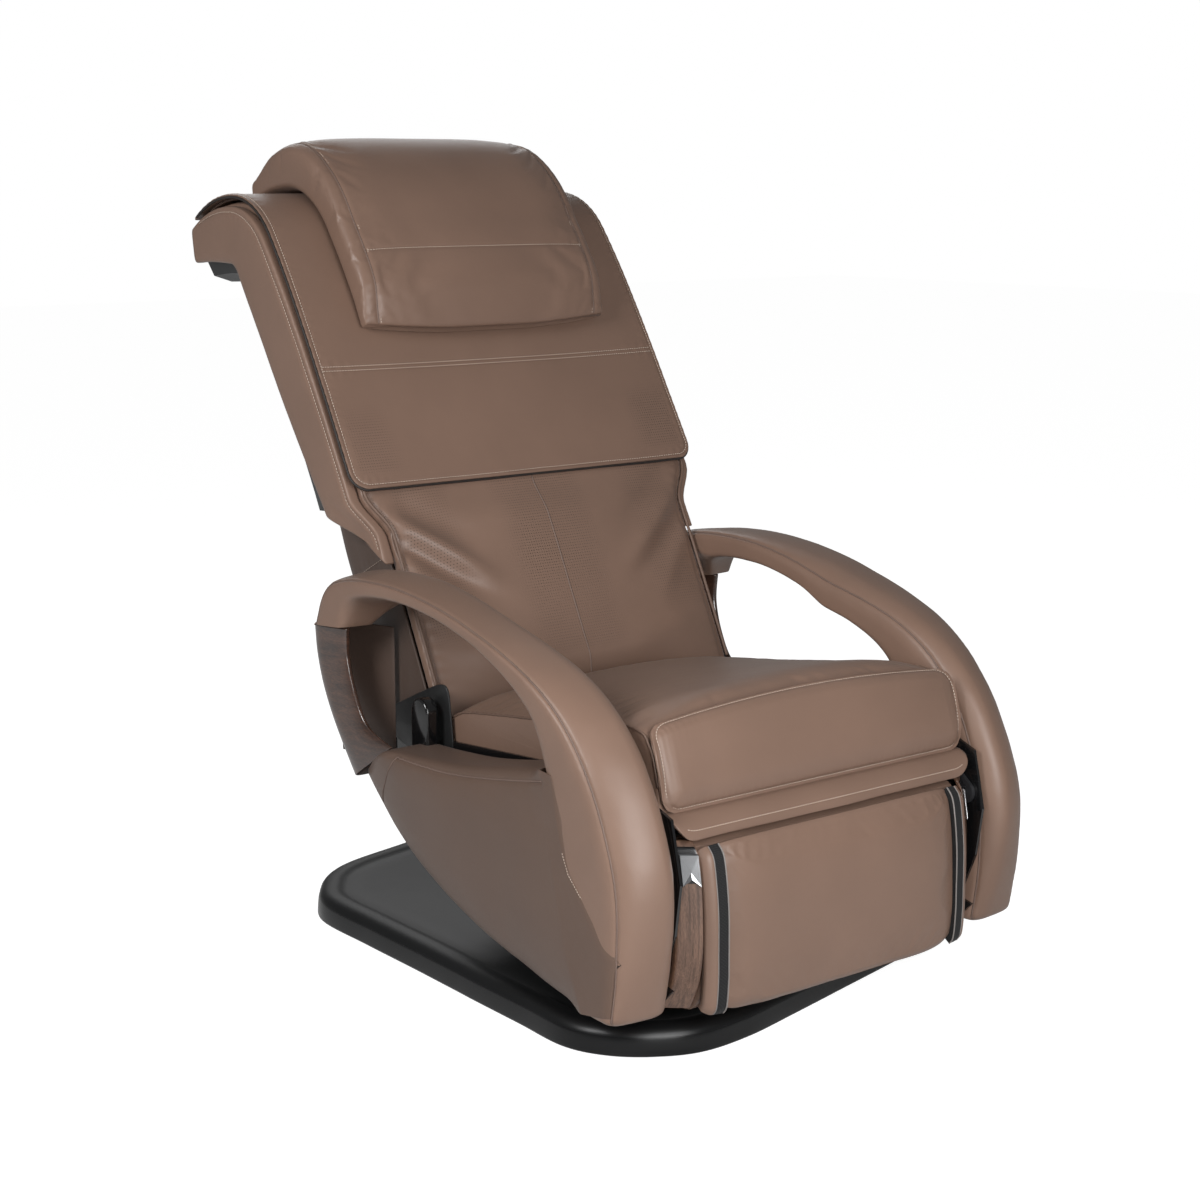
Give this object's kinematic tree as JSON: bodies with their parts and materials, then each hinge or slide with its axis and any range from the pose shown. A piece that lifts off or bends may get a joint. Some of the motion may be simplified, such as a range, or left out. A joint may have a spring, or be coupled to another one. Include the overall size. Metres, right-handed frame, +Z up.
{
  "type": "massage chair",
  "caption": "Reclining leather massage chair on a swivel base: looped arms, hooded back with roller carriage, head pillow and flip-over calf rest.",
  "frame": {"origin": "on the floor under the swivel axis, at the middle of the underside of the central floor glide", "axes": "+Z up; the sitter faces -Y; +X is the sitter's left; X = 0 is the mirror plane of the seat and back, apart from the handset on the sitter's right. The floor base is turned 13 degrees about Z under the seat at rest, as pictured"},
  "size_m": [0.802, 1.123, 1.1301],
  "materials": {
    "leather": "satin",
    "leather_dark": "satin",
    "black_plastic": "matt",
    "black_gloss": "gloss",
    "walnut": "gloss lacquer",
    "plywood": "raw",
    "steel": "satin black",
    "bright_steel": "ground",
    "chrome": "polished",
    "rubber": "matt",
    "grey_rubber": "matt",
    "button_red": "matt",
    "button_grey": "matt"
  },
  "bodies": {
    "base": {"base_cover": "black_plastic", "base_plate": "steel", "floor_glides": "rubber", "swivel_column": "steel"},
    "seat": {"swivel_head": "steel", "seat_frame": "steel", "underbody_cover": "black_plastic", "control_box": "black_plastic", "mains_inlet": "black_plastic", "arm_loop_left": "leather", "arm_loop_right": "leather", "side_panel_left": "leather", "side_panel_right": "leather", "rear_trim_left": "walnut", "rear_trim_right": "walnut", "inner_liner_left": "black_gloss", "inner_liner_right": "black_gloss", "seat_board": "plywood", "seat_cushion": "leather", "seat_flap": "leather", "seat_lip": "leather", "handset_pocket": "black_plastic"},
    "power_rocker": {"power_rocker": "black_plastic"},
    "handset": {"handset": "black_gloss"},
    "backrest": {"back_frame": "steel", "back_shell": "black_plastic", "lower_housing": "leather_dark", "back_pad": "leather", "back_side_left": "leather", "back_side_right": "leather", "back_flap": "leather", "guide_rails": "bright_steel", "lift_screw": "bright_steel"},
    "carriage": {"carriage": "bright_steel"},
    "knead_shaft": {"knead_shaft": "bright_steel"},
    "rollers_upper": {"rollers_upper": "grey_rubber"},
    "rollers_lower": {"rollers_lower": "grey_rubber"},
    "head_pillow": {"head_pillow": "leather"},
    "leg_rest": {"leg_frame": "steel", "leg_strip_left": "walnut", "leg_strip_right": "walnut"},
    "latch_left": {"latch_left": "chrome"},
    "latch_right": {"latch_right": "chrome"},
    "ottoman": {"ottoman": "leather", "ottoman_pad": "leather", "calf_liners": "leather_dark"},
    "push_links": {"push_links": "steel"},
    "recline_actuator": {"recline_actuator": "steel"},
    "actuator_rod": {"actuator_rod": "bright_steel"},
    "button_power": {"button_power": "button_red"},
    "button_recline": {"button_recline": "button_grey"},
    "button_raise": {"button_raise": "button_grey"},
    "button_program": {"button_program": "button_grey"},
    "button_force": {"button_force": "button_grey"}
  },
  "joints": [
    {"name": "swivel", "type": "hinge", "parent": "base", "child": "seat", "pos_m": [0, 0, 0.104], "axis": [0, 0, 1], "continuous": true},
    {"name": "recline", "type": "hinge", "parent": "seat", "child": "backrest", "pos_m": [0, 0.1, 0.295], "axis": [-1, 0, 0], "range_deg": [0, 40]},
    {"name": "leg_raise", "type": "hinge", "parent": "seat", "child": "leg_rest", "pos_m": [0, -0.436, 0.256], "axis": [-1, 0, 0], "range_deg": [0, 85]},
    {"name": "ottoman_turn", "type": "hinge", "parent": "leg_rest", "child": "ottoman", "pos_m": [0, -0.413, 0.17], "axis": [-1, 0, 0], "range_deg": [0, 180]},
    {"name": "latch_left_press", "type": "slide", "parent": "leg_rest", "child": "latch_left", "axis": [0, 1, 0], "range_m": [0, 0.002], "stiffness_N_per_m": 900, "springref_m": -0.002},
    {"name": "latch_right_press", "type": "slide", "parent": "leg_rest", "child": "latch_right", "axis": [0, 1, 0], "range_m": [0, 0.002], "stiffness_N_per_m": 900, "springref_m": -0.002},
    {"name": "link_swing", "type": "hinge", "parent": "backrest", "child": "push_links", "pos_m": [0, 0.12297, 0.23189], "axis": [-1, 0, 0], "range_deg": [-40, 0]},
    {"name": "actuator_swing", "type": "hinge", "parent": "seat", "child": "recline_actuator", "pos_m": [0, -0.235, 0.185], "axis": [1, 0, 0], "range_deg": [0, 1.2]},
    {"name": "actuator_stroke", "type": "slide", "parent": "recline_actuator", "child": "actuator_rod", "axis": [0, 0.9915, 0.1299], "range_m": [-0.0465, 0]},
    {"name": "pillow_lift", "type": "slide", "parent": "backrest", "child": "head_pillow", "axis": [0, 0.5446, 0.8387], "range_m": [0, 0.06]},
    {"name": "handset_lift", "type": "slide", "parent": "seat", "child": "handset", "axis": [0, 0, 1], "range_m": [0, 0.1]},
    {"name": "press_power", "type": "slide", "parent": "handset", "child": "button_power", "axis": [-1, 0, 0], "range_m": [0, 0.0014], "stiffness_N_per_m": 500, "springref_m": -0.001},
    {"name": "press_recline", "type": "slide", "parent": "handset", "child": "button_recline", "axis": [-1, 0, 0], "range_m": [0, 0.0014], "stiffness_N_per_m": 500, "springref_m": -0.001},
    {"name": "press_raise", "type": "slide", "parent": "handset", "child": "button_raise", "axis": [-1, 0, 0], "range_m": [0, 0.0014], "stiffness_N_per_m": 500, "springref_m": -0.001},
    {"name": "press_program", "type": "slide", "parent": "handset", "child": "button_program", "axis": [-1, 0, 0], "range_m": [0, 0.0014], "stiffness_N_per_m": 500, "springref_m": -0.001},
    {"name": "press_force", "type": "slide", "parent": "handset", "child": "button_force", "axis": [-1, 0, 0], "range_m": [0, 0.0014], "stiffness_N_per_m": 500, "springref_m": -0.001},
    {"name": "rocker_tip", "type": "hinge", "parent": "seat", "child": "power_rocker", "pos_m": [0.06, 0.064, 0.152], "axis": [1, 0, 0], "range_deg": [0, 10]},
    {"name": "carriage_travel", "type": "slide", "parent": "backrest", "child": "carriage", "axis": [0, 0.4826, 0.8758], "range_m": [0, 0.3]},
    {"name": "knead_turn", "type": "hinge", "parent": "carriage", "child": "knead_shaft", "pos_m": [0, 0.21984, 0.50583], "axis": [1, 0, 0], "continuous": true},
    {"name": "roller_upper_turn", "type": "hinge", "parent": "carriage", "child": "rollers_upper", "pos_m": [0, 0.22163, 0.55051], "axis": [1, 0, 0], "continuous": true},
    {"name": "roller_lower_turn", "type": "hinge", "parent": "carriage", "child": "rollers_lower", "pos_m": [0, 0.17723, 0.46994], "axis": [1, 0, 0], "continuous": true}
  ],
  "couplings": [
    {"joint": "leg_raise", "follows": "recline", "ratio": 2.125},
    {"joint": "link_swing", "follows": "recline", "ratio": -1},
    {"joint": "actuator_swing", "follows": "recline", "ratio": 0.02709},
    {"joint": "actuator_stroke", "follows": "recline", "m_per_rad": -0.06517}
  ]
}
